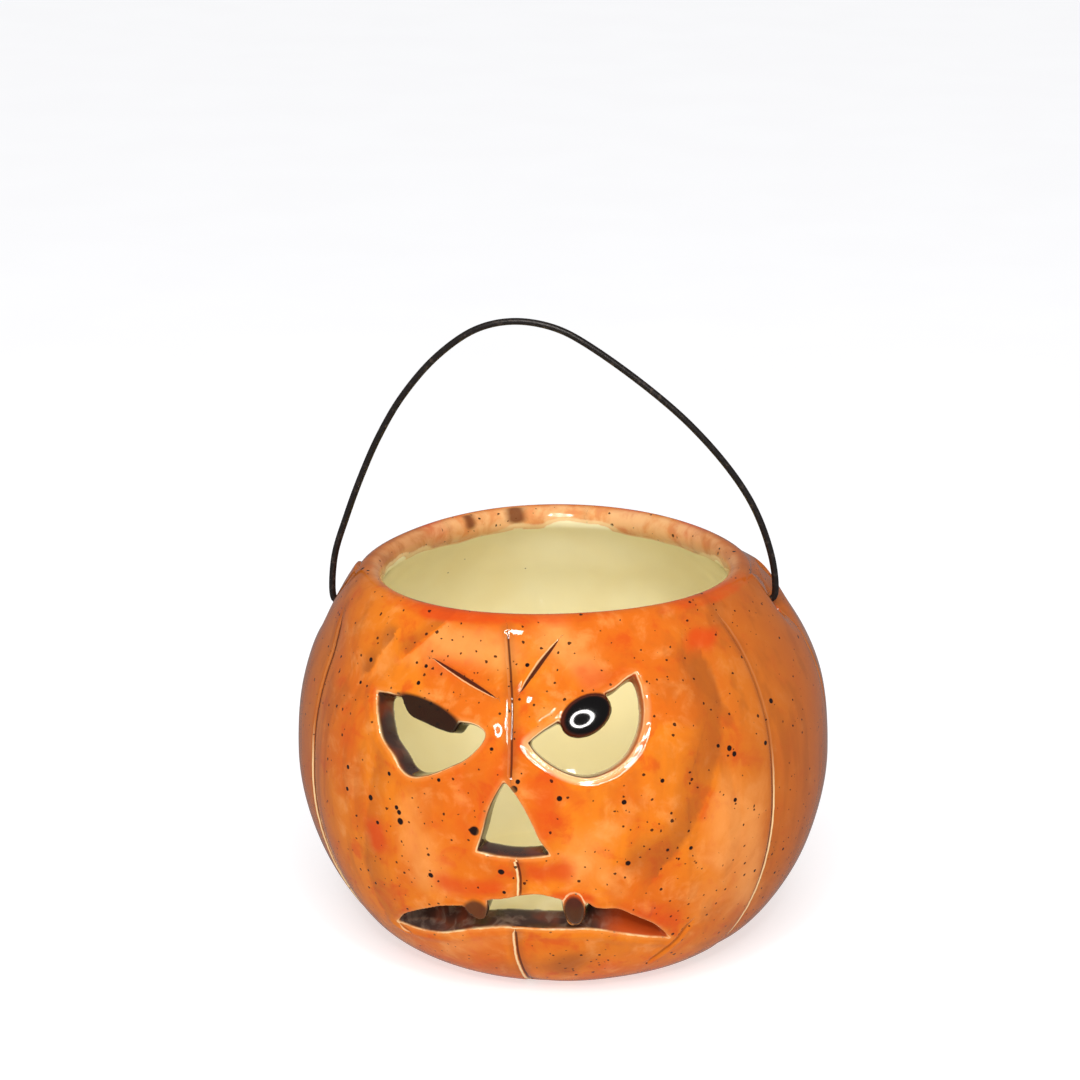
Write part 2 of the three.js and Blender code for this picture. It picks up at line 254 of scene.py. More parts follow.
# the face, drawn on the wall in mm: u from the middle line, v from the widest height
faceLayout = {
    "leftEye": [
        [(-35.1, 27.1), (-31.5, 27.5), (-27.9, 27.6)],
        [(-27.9, 27.6), (-26.7, 25.7), (-25.2, 24.4), (-20.9, 23.5), (-16.7, 22.7), (-13.6, 22.6), (-12.1, 24.9)],
        [(-12.1, 24.9), (-8.8, 24.7), (-6.3, 23.4), (-6.4, 21.9), (-10.4, 17.4), (-14.3, 15.1), (-17.3, 13.5),
         (-20.5, 12.1), (-23.8, 11.4), (-26.2, 12.2), (-28.7, 15.1), (-30.9, 16.8), (-32.6, 18.4), (-33.6, 20.6),
         (-34.8, 24.2), (-35.1, 27.1)],
    ],
    "rightEye": [
        [(3.9, 21.9), (6.7, 24.2), (10.4, 26.6)],
        [(10.4, 26.6), (11.8, 24.6), (14.4, 23.5), (17.5, 23.6), (20.3, 25.4), (21.8, 28.2), (21.8, 30.7),
         (20.5, 32.1)],
        [(20.5, 32.1), (23.2, 33.2), (25.4, 34.8), (27.8, 36)],
        [(27.8, 36), (28.7, 33.6), (29.3, 30.7), (29.6, 28), (29.4, 24.9), (28.6, 22.4), (27.4, 20), (25.6, 17.8),
         (23.3, 16.2), (20.2, 15), (17.8, 14.6), (14.9, 14.9), (12.2, 15.8), (9.6, 17.1), (7.1, 18.7), (5.2, 20.3),
         (3.9, 21.9)],
    ],
    "nose": [
        [(-1.3, 13), (-3.7, 8.6), (-5.1, 4.8), (-6, 1), (-7.4, -3.7)],
        [(-7.4, -3.7), (-3, -4.4), (2, -4.5), (6, -4), (9.1, -3.3)],
        [(9.1, -3.3), (6.6, 0.1), (4.9, 3.8), (1.9, 9.1), (-1.3, 13)],
    ],
    "mouth": [
        [(-31.2, -30.8), (-28.3, -27.1), (-25, -24.8), (-20.7, -22.4), (-17.3, -20.8), (-11.6, -19.4)],
        [(-11.6, -19.4), (-10.6, -21.4), (-8.8, -22.8), (-6.9, -22.9), (-6, -20.6), (-5.6, -16.8)],
        [(-5.6, -16.8), (-1.2, -16), (2, -14.9), (6.7, -14.2), (11.4, -15.3)],
        [(11.4, -15.3), (11.9, -19.5), (12.4, -22.3), (13.5, -23.1), (14.7, -22.2), (15.8, -19.4), (17, -15.9)],
        [(17, -15.9), (18.9, -17.8), (23.9, -18.5), (28, -21.4), (32.3, -24.9), (35.6, -30.2)],
        [(35.6, -30.2), (30.9, -28.6), (24.2, -26), (18, -24), (12, -23.9), (6.1, -24), (-1.9, -24.3),
         (-8.9, -25.9), (-13.8, -27.8), (-18.6, -29.9), (-25, -30.9), (-31.2, -30.8)],
    ],
    "cutSpacing": 0.7,
}


def drawnOutline(name):
    runs = [curveThrough(run, faceLayout["cutSpacing"])[:-1] for run in faceLayout[name]]
    return np.vstack(runs)


def outlineDistance(u, v, outline):
    # shortest way to a closed outline, negative inside it
    best = np.full(len(u), 1e9)
    inside = np.zeros(len(u), bool)
    for (ax, ay), (bx, by) in zip(outline, np.roll(outline, -1, axis=0)):
        dx, dy = bx - ax, by - ay
        t = np.clip(((u - ax) * dx + (v - ay) * dy) / (dx * dx + dy * dy), 0, 1)
        best = np.minimum(best, np.hypot(u - ax - t * dx, v - ay - t * dy))
        if ay != by:
            inside ^= ((ay > v) != (by > v)) & (u < dx * (v - ay) / dy + ax)
    return np.where(inside, -best, best)


# how each cut is eased where it meets the outer face
cutEase = {
    # height above the face, how far the edge opens
    "levels": [(-11.5, 0.0), (-6.9, 0.7), (-6.2, 0.45), (-5.6, 0.1), (-1.3, 0.0), (-0.7, 0.15), (-0.3, 0.45),
               (0.0, 0.9), (1.0, 1.8), (4.5, 1.8)],
    "slightSpread": 0.45,
    "rightEyeMiddle": (16.0, 26.0),
    "rightEyeLip": 1.3,      # the right eye's lower edge rolls in more
    "mouthSlope": 0.72,      # the lower lip rises inwards at the mouth's thin ends
    "mouthLeftEnd": (10, 14),
    "mouthRightEnd": (16, 18.5),
}


def outlineNormals(outline):
    ahead, behind = np.roll(outline, -1, axis=0), np.roll(outline, 1, axis=0)
    along = ahead - behind
    along /= np.linalg.norm(along, axis=1)[:, None]
    normal = np.column_stack([along[:, 1], -along[:, 0]])
    area = np.sum(outline[:, 0] * ahead[:, 1] - ahead[:, 0] * outline[:, 1])
    return normal if area > 0 else -normal


def cutterFor(name):
    outline = drawnOutline(name)
    normals = outlineNormals(outline)
    spread = np.full(len(outline), cutEase["slightSpread"])
    slope = np.zeros(len(outline))
    if name == "rightEye":
        way = outline - np.array(cutEase["rightEyeMiddle"])
        way /= np.linalg.norm(way, axis=1)[:, None]
        rolled = np.maximum(smoothStep(-0.2, 0.6, -way[:, 1]), smoothStep(0.75, 1.0, way[:, 0]))
        spread = spread + cutEase["rightEyeLip"] * rolled
    if name == "mouth":
        left = smoothStep(*cutEase["mouthLeftEnd"], -outline[:, 0])
        right = smoothStep(*cutEase["mouthRightEnd"], outline[:, 0])
        slope = cutEase["mouthSlope"] * (left + right) * np.maximum(-normals[:, 1], 0)
    bm = bmesh.new()
    layers = []
    for lift, opening in cutEase["levels"]:
        flat = outline + normals * (opening * spread)[:, None]
        flat[:, 1] += slope * np.clip(-lift - 1.0, 0, 5.3)
        ring = [bm.verts.new(p) for p in onWall(potShape["faceAzimuth"], flat[:, 0], flat[:, 1], lift)]
        layers.append([bm.edges.new(pair) for pair in zip(ring, ring[1:] + ring[:1])])
    for below, above in zip(layers, layers[1:]):
        bmesh.ops.bridge_loops(bm, edges=below + above)
    for end in (layers[0], layers[-1]):
        bmesh.ops.triangle_fill(bm, edges=end, use_beauty=True)
    bmesh.ops.recalc_face_normals(bm, faces=bm.faces)
    return newPiece("cutter_" + name, bm)


# the bail's two pierced holes
bailSeat = {
    "leftLegX": -55.4,
    "rightLegX": 50.4,
    "leftHoleHeight": 78.0,
    "rightHoleHeight": 82.2,
    "holeWidth": 3.4,
    "holeHeight": 4.8,
    "seatGap": 0.3,
    "dentDepth": 1.8,
    "dentReach": 5.0,
}
hingeLean = math.atan2(bailSeat["rightHoleHeight"] - bailSeat["leftHoleHeight"],
                       bailSeat["rightLegX"] - bailSeat["leftLegX"])


def hingeHeight(x):
    return bailSeat["leftHoleHeight"] + (x - bailSeat["leftLegX"]) * math.tan(hingeLean)


def wallAtHinge(side, lift):
    run = np.arange(15, section["top"], 0.1)
    points = onWall(side * 90, 0, run, lift)
    miss = np.abs(points[:, 2] - hingeHeight(points[:, 0]))
    return float(points[np.argmin(miss), 0])


def holeCutter(side):
    outerX = wallAtHinge(side, 0)
    mouth = Vector((outerX, 0, hingeHeight(outerX)))
    half = bailSeat["holeWidth"] / 2
    upper = wire["radius"] + bailSeat["seatGap"] - half
    bm = bmesh.new()
    bmesh.ops.create_circle(bm, cap_ends=True, segments=24, radius=half)
    for v in bm.verts:
        if v.co.y < 0:
            v.co.y += bailSeat["holeWidth"] - bailSeat["holeHeight"]
        v.co.y += upper
    made = bmesh.ops.extrude_face_region(bm, geom=list(bm.faces))
    far = [g for g in made["geom"] if isinstance(g, bmesh.types.BMVert)]
    bmesh.ops.translate(bm, verts=far, vec=(0, 0, 20))
    bmesh.ops.translate(bm, verts=bm.verts, vec=(0, 0, -10))
    lie = Matrix(((0, 0, side), (side, 0, 0), (0, 1, 0))).to_4x4()
    lean = Matrix.Rotation(-hingeLean, 4, "Y")
    bmesh.ops.transform(bm, matrix=Matrix.Translation(mouth) @ lean @ lie, verts=bm.verts)
    bmesh.ops.recalc_face_normals(bm, faces=bm.faces)
    return newPiece("cutter_slot", bm)


# pads of clay pressed on over the wall before glazing: (u, v, lift), half sizes, turn
clayPads = {
    # dome: its foot above the wall, its rise, and how it tips along u and v
    "pupil": {"at": (16.6, 27.7, -1.7), "half": (6.1, 4.2, 2.5), "turn": 0.42,
              "dome": (0.1, 0.62, 0.042, 0.107)},
    "fang": {"at": (14.2, -18.2, -1.9), "half": (2.75, 5.0, 3.3), "turn": 0.02,
             "dome": (-1.9, 3.3, 0.0, 0.0)},
}
# places that are only painted dark
paintedMarks = {
    "tab": {"at": (-20.4, 25.4), "half": (8.8, 2.9), "turn": -0.19},
    "leftFang": {"at": (-8.7, -20.6), "half": (3.4, 4.2), "turn": -0.25},
}


def clayPad(name):
    pad = clayPads[name]
    bm = bmesh.new()
    bmesh.ops.create_icosphere(bm, subdivisions=4, radius=1)
    bmesh.ops.scale(bm, vec=pad["half"], verts=bm.verts)
    if name == "fang":
        for v in bm.verts:
            v.co.x *= 1 + 0.045 * v.co.y      # a peg, wider at its root
    bmesh.ops.rotate(bm, verts=bm.verts, cent=(0, 0, 0), matrix=Matrix.Rotation(pad["turn"], 3, "Z"))
    points = np.array([v.co for v in bm.verts]) + np.array(pad["at"])
    for v, place in zip(bm.verts, onWall(potShape["faceAzimuth"], points[:, 0], points[:, 1], points[:, 2])):
        v.co = place
    return newPiece("clay_" + name, bm)


# lines pressed into the clay
pressedLines = {
    # ribs: azimuth, list of (sideways wander in mm, v); the first is the face's middle line
    "ribs": [
        (-5, [(-2.4, 47.8), (-1.5, 41.8), (-0.4, 33), (0, 27), (0.2, 20), (0.3, 13)]),
        (-5, [(1.6, -4.6), (2.3, -9), (2.2, -15.5)]),
        (-5, [(0.4, -24.2), (0, -33), (0.4, -47), (0.4, -54)]),
        (56, [(-1.2, 49), (-0.2, 40), (0, 20), (0, 0), (0.2, -20), (0, -40), (0, -56)]),
        (126, [(0.6, 48), (0, 30), (-0.6, 5), (0, -25), (0.4, -55)]),
        (177, [(-0.8, 48), (0, 25), (0.7, 0), (0, -25), (-0.5, -55)]),
        (-130, [(0, 48), (0.6, 25), (0, 0), (-0.6, -25), (0, -55)]),
        (-63, [(0.5, 43), (0, 30), (0, 5), (0, -20), (0, -55)]),
    ],
    # creases that run from the rim down through the bail's holes
    "creases": [
        (89, [(-4.6, 48.6), (-2.2, 47.2), (0.2, 43), (0.6, 39), (0, 35), (-0.5, 28), (-0.6, 8)]),
        (-90, [(6.2, 48.4), (3.4, 48.2), (0.9, 45), (0, 40), (-0.2, 35), (-0.4, 22), (-0.5, 6)]),
    ],
    "creaseStep": 0.8,
    "slits": [
        [(-18.9, 38.3), (-11.7, 34.7), (-4.2, 30.9)],
        [(9.7, 44.9), (5.8, 39.2), (1.8, 32.5)],
        [(41.9, -26.2), (36, -33.5), (29.4, -40.4)],
        [(-31.1, -30.6), (-29.4, -32.2), (-27.7, -33.6)],
    ],
    "ribDepth": 0.55,
    "ribWidth": 0.6,
    "stepHeight": 0.3,
    "slitDepth": 0.75,
    "slitWidth": 0.5,
    "slitBurr": 0.16,      # clay pushed up on both sides
}


def lineDistance(u, v, line):
    # distance to an open line, its side, and how far along it (0..1)
    best = np.full(len(u), 1e9)
    side = np.zeros(len(u))
    share = np.zeros(len(u))
    count = len(line) - 1
    for i, ((ax, ay), (bx, by)) in enumerate(zip(line, line[1:])):
        dx, dy = bx - ax, by - ay
        t = np.clip(((u - ax) * dx + (v - ay) * dy) / (dx * dx + dy * dy), 0, 1)
        away = np.hypot(u - ax - t * dx, v - ay - t * dy)
        near = away < best
        best = np.where(near, away, best)
        side = np.where(near, np.sign(dx * (v - ay) - dy * (u - ax)), side)
        share = np.where(near, (i + t) / count, share)
    return best, side, share


def linesNear(place):
    # for every point the signed and plain distance to the nearest rib line and slit, and the relief they press
    count = len(place["u"])
    line = {name: np.full(count, 9.0) for name in ("rib", "ribGap", "slit", "slitGap")}
    relief = np.zeros(count)
    rho = wallAt(place["v"])[0]
    p = pressedLines

    def keepNearest(name, near, away, side, share):
        closer = away < line[name + "Gap"][near]
        line[name][near] = np.where(closer, np.where(side >= 0, away, -away) / share, line[name][near])
        line[name + "Gap"][near] = np.where(closer, away, line[name + "Gap"][near])

    for azimuth, route in p["ribs"] + p["creases"]:
        crease = (azimuth, route) in p["creases"]
        u = np.radians(turnFrom(azimuth, place["azimuth"])) * rho
        near = np.abs(u) < 14
        away, side, share = lineDistance(u[near], place["v"][near], curveThrough(route, 1.5))
        fade = smoothStep(0, 0.08, share) * smoothStep(0, 0.3 if crease else 0.04, 1 - share)
        relief[near] -= p["ribDepth"] * bell(away, p["ribWidth"]) * fade
        if crease:
            # the clay in front of a crease stands up, the clay behind it lies lower
            front = side if azimuth < 0 else -side
            high = smoothStep(24, 44, place["v"][near])
            step = np.where(front > 0, 0.8 * bell(away, 5), -0.7 * bell(away, 4))
            relief[near] += p["creaseStep"] * step * high * smoothStep(0, 0.7, away)
        else:
            step = np.where(side > 0, bell(away, 5), 0) * smoothStep(0, 0.8, away)
            relief[near] -= p["stepHeight"] * step * fade
        keepNearest("rib", near, away, side, np.maximum(fade, 0.15))
    near = (np.abs(place["u"]) < 60) & (np.abs(place["v"]) < 60)
    for route in p["slits"]:
        away, side, share = lineDistance(place["u"][near], place["v"][near], curveThrough(route, 1.0))
        pinch = 0.2 + 0.8 * np.sin(np.pi * np.clip(share, 0.0, 1.0)) ** 0.7
        relief[near] -= p["slitDepth"] * pinch * bell(away, p["slitWidth"])
        relief[near] += p["slitBurr"] * pinch * bell(away - 1.3, 0.6)
        keepNearest("slit", near, away, side, pinch)
    return line, relief


# soft unevenness left by hands: a few slow waves, always inwards at the widest part
handMarks = {
    "waveDepth": 0.22,
    "faceSink": 0.3,
    "rimLift": 0.32,       # clay pushed up round each cut
    "rimReach": 1.5,
    "eyeRoll": 0.95,       # the right eye's lower edge is rolled in by the thumb
    "rollReach": 3.6,
    "rightShoulder": 1.4,  # the clay behind the right hole stands fuller
    "shoulderAzimuth": 104,
    # small raised burrs: place, direction, half length and width, height
    "drops": [
        ((-4.3, 35.4), (0.2, 0.98), (1.8, 1.0), 0.22),
        ((1.7, 34.8), (0.3, 0.95), (2.2, 0.9), 0.22),
        ((3.0, 31.2), (0.6, 0.8), (1.8, 1.0), 0.25),
        ((9.4, 29.9), (0.9, -0.3), (2.0, 1.1), 0.3),
        ((6.2, 26.6), (0.8, 0.55), (3.2, 1.3), 0.35),
        ((-0.8, 20.0), (0.0, 1.0), (2.6, 0.6), 0.25),
    ],
    "scrapes": [  # (u1, v1, u2, v2, depth, width) shallow pulled strokes
        (-17.5, 46, -27, 36.5, 0.4, 2.6),
        (-30, 41, -36, 32, 0.3, 2.2),
        (1, 34.5, -9, 31, -0.35, 5.0),
        (9, 29.5, 4, 36, -0.3, 3.5),
        (40, 34, 41, 10, 0.35, 6.0),
        (41, 10, 33, -16, 0.35, 6.0),
    ],
}


def wallRelief(place, cut):
    u, v, azimuth = place["u"], place["v"], np.radians(place["azimuth"])
    wave = (
        np.sin(3 * azimuth + 0.09 * v + 0.6) + 0.8 * np.sin(7 * azimuth - 0.13 * v + 2.0)
        + 0.6 * np.sin(11 * azimuth + 0.21 * v + 4.1) + 0.5 * np.sin(0.33 * v + 2 * azimuth)
    ) / 2.9
    relief = handMarks["waveDepth"] * (wave - 1) * 0.5
    for u1, v1, u2, v2, depth, width in handMarks["scrapes"]:
        away, side, share = lineDistance(u, v, np.array([(u1, v1), (u2, v2)]))
        one = np.where(side > 0, bell(away, width * 1.8), bell(away, width * 0.45))
        relief = relief - depth * one
    relief = relief - handMarks["faceSink"] * bell(v, 24) * smoothStep(60, 35, np.abs(u))
    behind = bell(place["azimuth"] - handMarks["shoulderAzimuth"], 13)
    relief = relief + handMarks["rightShoulder"] * behind * bell(v - 43, 6)
    relief = relief + handMarks["rimLift"] * bell(cut - 2.2, handMarks["rimReach"])
    for at, along, half, height in handMarks["drops"]:
        du, dv = u - at[0], v - at[1]
        ahead, aside = du * along[0] + dv * along[1], dv * along[0] - du * along[1]
        relief = relief + height * bell(ahead, half[0]) * bell(aside, half[1])
    return relief * smoothStep(section["top"] - 0.3, section["top"] - 5, v)


def eyeRoll(place):
    # the right eye's lower edge rolls softly into the hole: how much of the roll is here, and the distance to the cut
    u, v = place["u"], place["v"]
    near = (u > -4) & (u < 40) & (v > 4) & (v < 44)
    gap = np.full(len(u), 99.0)
    gap[near] = outlineDistance(u[near], v[near], drawnOutline("rightEye"))
    wayU, wayV = u - 16.5, v - 25.5
    size = np.maximum(np.hypot(wayU, wayV), 1e-6)
    share = np.maximum(smoothStep(-0.1, 0.5, -wayV / size), 0.8 * smoothStep(0.8, 1.0, wayU / size) * (wayV < 8))
    return share, gap


def faceDistance(place):
    cut = np.full(len(place["u"]), 9.0)
    near = (np.abs(place["u"]) < 50) & (place["v"] > -45) & (place["v"] < 45)
    for name in ("leftEye", "rightEye", "nose", "mouth"):
        cut[near] = np.minimum(cut[near], outlineDistance(place["u"][near], place["v"][near], drawnOutline(name)))
    return cut


def padDistance(place, pad):
    # below 0 on the pad, in parts of its own half size
    du, dv = place["u"] - pad["at"][0], place["v"] - pad["at"][1]
    c, s = math.cos(pad["turn"]), math.sin(pad["turn"])
    return np.hypot((du * c + dv * s) / pad["half"][0], (-du * s + dv * c) / pad["half"][1]) - 1


def dentAt(place):
    # the glaze is drawn into a shallow dent round each of the bail's holes
    dent = np.zeros(len(place["u"]))
    away = np.full(len(place["u"]), 99.0)
    rho = wallAt(place["v"])[0]
    for side in (-1, 1):
        x = wallAtHinge(side, 0)
        seat = layout(np.array([[x, 0.0, hingeHeight(x)]]))
        middle = seat["v"][0]
        u = np.radians(turnFrom(seat["azimuth"][0], place["azimuth"])) * rho
        reach = np.hypot(u, place["v"] - middle)
        dent = np.minimum(dent, -bailSeat["dentDepth"] * bell(reach, bailSeat["dentReach"]))
        slot = np.hypot(u, np.maximum(np.abs(place["v"] - middle + 0.6) - 0.7, 0))
        away = np.minimum(away, slot - bailSeat["holeWidth"] / 2)
    return dent, away


# how the fired surface is laid back onto the true wall, in mm
surface = {
    "outerReach": 0.9,     # points this near belong to the outer face
    "innerReach": 0.5,
    "edge": 0.3,           # left alone at the foot and at the lip
    "calm": (4, 12),       # round the bail's holes the relief rises no higher than calmRise
    "calmRise": 0.6,
    "dished": 2.5,         # and nearer than this nothing stands above the dent
}


def leaveSmooth(points):
    # away from cuts, pads and holes every point goes back onto the true wall plus its relief
    place = layout(points)
    v, lift, wall, s = place["v"], place["lift"].copy(), potShape["wall"], surface
    cut = faceDistance(place)
    relief = linesNear(place)[1] + wallRelief(place, cut)
    dent, hole = dentAt(place)
    calm = np.minimum(relief, s["calmRise"] * smoothStep(*s["calm"], hole))
    relief = np.where(hole < s["calm"][1], calm, relief) + dent
    roll, gap = eyeRoll(place)
    relief = relief - handMarks["eyeRoll"] * roll * np.clip(1 - gap / handMarks["rollReach"], 0, 1) ** 2
    pads = np.minimum(padDistance(place, clayPads["pupil"]), padDistance(place, clayPads["fang"]))
    softer = smoothStep(3.0, 1.5, gap) * roll
    free = smoothStep(1.0 - 0.75 * softer, 2.4 - 1.6 * softer, cut)
    free = free * smoothStep(0.1, 0.3, pads) * smoothStep(0.6, 1.4, hole)
    inRange = (v > section["bottom"] + s["edge"]) & (v < section["top"] - s["edge"])
    outer = inRange & (lift > np.minimum(relief, 0) - s["outerReach"]) & (lift < s["outerReach"])
    inner = inRange & (np.abs(lift + wall) < s["innerReach"]) & (place["z"] > 12)
    lift = np.where(outer, lift * (1 - free) + relief * free, lift)
    lift = np.where(inner, lift * (1 - free) - wall * free, lift)
    lift = np.where(outer & (hole < s["dished"]), np.minimum(lift, relief), lift)
    for pad in clayPads.values():
        # a pad's own dome
        share = padDistance(place, pad) + 1
        foot, rise, tipU, tipV = pad["dome"]
        dome = foot + rise * np.sqrt(np.clip(1 - share ** 2, 0, 1))
        dome = dome + tipU * (place["u"] - pad["at"][0]) + tipV * (v - pad["at"][1])
        top = (share < 0.92) & (place["lift"] > pad["at"][2] + 0.2)
        lift = np.where(top, lift + (dome - lift) * smoothStep(0.92, 0.8, share), lift)
    pick = outer | inner | (pads < -0.08) & (place["lift"] > -2.4)
    moved = points.copy()
    moved[pick] = onWall(0, np.radians(place["azimuth"][pick]) * wallAt(v[pick])[0], v[pick], lift[pick])
    return moved


def throwPot():
    p = potShape
    bm = bmesh.new()
    ringInside = p["footRadius"] - p["footRingWidth"]
    outline = [(0, p["footRecess"]), (ringInside - p["footRecess"], p["footRecess"]), (ringInside, 0)]
    for v in np.linspace(section["bottom"], section["top"], 60):
        outline.append(tuple(wallAt(v)[:2]))
    lean = math.atan2(section["outZ"][-1], section["outR"][-1])
    half = p["wall"] / 2
    lipR, lipZ = outline[-1][0] - half * math.cos(lean), outline[-1][1] - half * math.sin(lean)
    for i in range(1, 14):
        turn = lean + math.pi * i / 14
        outline.append((lipR + half * math.cos(turn), lipZ + half * math.sin(turn)))
    for v in np.linspace(section["top"], section["bottom"], 46):
        rho, z, outR, outZ = wallAt(v)
        outline.append((rho - outR * p["wall"], z - outZ * p["wall"]))
    outline.append((0, outline[-1][1]))
    verts = [bm.verts.new((r, 0, z)) for r, z in outline]
    edges = [bm.edges.new(pair) for pair in zip(verts, verts[1:])]
    bmesh.ops.spin(bm, geom=verts + edges, cent=(0, 0, 0), axis=(0, 0, 1), angle=2 * math.pi,
                   steps=p["columns"], use_merge=True)
    bmesh.ops.remove_doubles(bm, verts=bm.verts, dist=1e-4)
    bmesh.ops.recalc_face_normals(bm, faces=bm.faces)
    pot = newPiece("glazed_pot", bm)
    writePoints(pot.data, handShape(readPoints(pot.data)))
    return pot


def cutAndFirePot():
    pot = throwPot()
    pads = [clayPad(name) for name in clayPads]
    cutters = [cutterFor(name) for name in ("leftEye", "rightEye", "nose", "mouth")]
    cutters += [holeCutter(side) for side in (-1, 1)]
    for tool, way in [(c, "DIFFERENCE") for c in cutters] + [(c, "UNION") for c in pads]:
        step = pot.modifiers.new(tool.name, "BOOLEAN")
        step.operation, step.solver, step.object = way, "MANIFOLD", tool
    soften = pot.modifiers.new("soften", "REMESH")
    soften.mode, soften.voxel_size, soften.use_smooth_shade = "VOXEL", potShape["clayGrain"], True
    sponge = pot.modifiers.new("sponge", "SMOOTH")
    sponge.factor, sponge.iterations = 0.5, 4
    settle(pot)
    for tool in cutters + pads:
        bpy.data.objects.remove(tool)
    writePoints(pot.data, leaveSmooth(readPoints(pot.data)))
    thin = pot.modifiers.new("thin", "DECIMATE")
    thin.ratio = potShape["triangles"] / (2 * len(pot.data.polygons))
    settle(pot)
    writePoints(pot.data, leaveSmooth(readPoints(pot.data)))
    return pot


# how the brush and the fire left the glaze, and one band of painted shade: (u, v) from the face's middle line
brushAndShadeWork = {
    # browner or paler strokes: route, half width, strength (below 0 browner), sharp side (0 none, 1 left, -1 right)
    "strokes": [
        # the first is painted shade: a browner band on the right cheek with a sharp right edge, where the face turns
        # to the side
        ([(46, 35), (48.7, 27), (48.6, 18), (46.9, 9), (41.4, 0), (37, -6)], 9.5, -0.8, 1),
        ([(-14, 51), (-25.4, 39)], 3.2, -1.0, 1),
        ([(-29.5, 42), (-38.7, 30.5)], 3, -0.9, 1),
        ([(-35, 9), (-37, -4), (-38.5, -14), (-36, -26)], 9, -0.6, -1),
        ([(22, -30), (8, -38), (-6, -42)], 5, -0.4, 0),
        ([(12, -36), (10, -40)], 4, -0.5, 0),
        ([(30, 6), (27, -8)], 3.5, -0.3, 0),
        ([(-12, 33), (-4, 31)], 2.5, -0.3, 0),
        ([(-17, 43), (-4, 42)], 5.5, 0.8, 0),
        ([(8, 46), (17, 38)], 5, 0.7, 0),
        ([(-26, 2), (-20, -12)], 8, 0.6, 0),
        ([(-22, 38), (-33, 36)], 3.5, 0.4, 0),
        ([(20, 0), (32, 6)], 5, 0.5, 0),
        ([(14, -4), (24, -12)], 5, 0.5, 0),
        ([(-6, -30), (-18, -36)], 5, 0.4, 0),
        ([(50, 8), (46, -22)], 5, 0.35, 0),
        ([(58, 0), (60, -22)], 9, 0.7, 0),
    ],
    # redder pools: route, half width, strength
    "blushes": [
        ([(43, 42), (47, 41)], 2.8, 1.0), ([(-34.4, -4), (-34, -8)], 3.2, 0.9), ([(-16, -13), (-4, -13)], 3.0, 0.8),
        ([(6, -8), (11, -7)], 3.4, 0.9), ([(10, -14.5), (17, -15)], 2.0, 0.9), ([(25, -19), (36, -24)], 3.6, 0.7),
        ([(-12, 20), (-9, 2)], 4.0, 0.4), ([(8, 12), (8, 3)], 4.5, 0.7), ([(-20, 52), (22, 52)], 2.8, 0.8),
        ([(-34, -24), (-28, -18)], 3.5, 0.5), ([(2, 22), (-3, 14)], 2.6, 0.6), ([(-18, 37), (-9, 36)], 3.5, 0.5),
        ([(16, 36), (24, 36)], 4, 0.5), ([(20, -38), (30, -36)], 4, 0.4), ([(-45, 20), (-43, 4)], 4, 0.3),
    ],
    # soft blots and reds on the rim: azimuth, reach in degrees
    "rimBlots": [(219, 2.8), (200, 3.2), (-38, 4)],
    "rimReds": [(236, 8), (132, 10), (-25, 20), (60, 18), (160, 7)],
    # larger specks that fell from the brush: u, v, radius
    "spots": [
        (-37.5, 33.7, 0.52), (-41.5, 27.6, 0.4), (-20.9, 36.1, 0.4), (-23, 31.6, 0.45), (-14.9, 26.9, 0.45),
        (-3.2, 30.8, 0.4), (-43.9, 8.4, 0.45), (-29.9, 10.6, 0.45), (-16.4, 11.9, 0.45), (-4.3, 20.1, 0.5),
        (1.9, 13.3, 0.5), (1.1, 11.6, 0.77), (-35.9, 3.4, 0.62), (-44.2, 3.1, 0.45), (-27.9, 3.1, 0.5),
        (-27.2, 2.1, 0.55), (-26.9, 0, 0.75), (-33.8, -2.1, 0.45), (-7.9, 1.2, 1.0), (-19.1, -12, 0.58),
        (-2, -8.5, 0.66), (-1.5, -13.8, 0.45), (2.9, 38.8, 0.45), (67, 23.1, 0.55), (64.2, 14.8, 0.5),
        (52, 16.7, 0.6), (53.5, 15.1, 0.55), (48.8, 17.9, 0.45), (42, -4.6, 0.52), (36.2, -4.1, 0.5),
        (26.7, -6, 0.55), (25.7, 8.7, 0.52), (34.5, 12.6, 0.45), (11.3, 10, 0.55), (61.8, -24.7, 0.48),
        (53.9, 4.5, 0.45),
    ],
}


def strokeShare(place, route, half, sharp=0):
    away, side, share = lineDistance(place["u"], place["v"], np.array(route, float))
    return np.where(side * sharp > 0, bell(away, half * 0.12), bell(away, half))


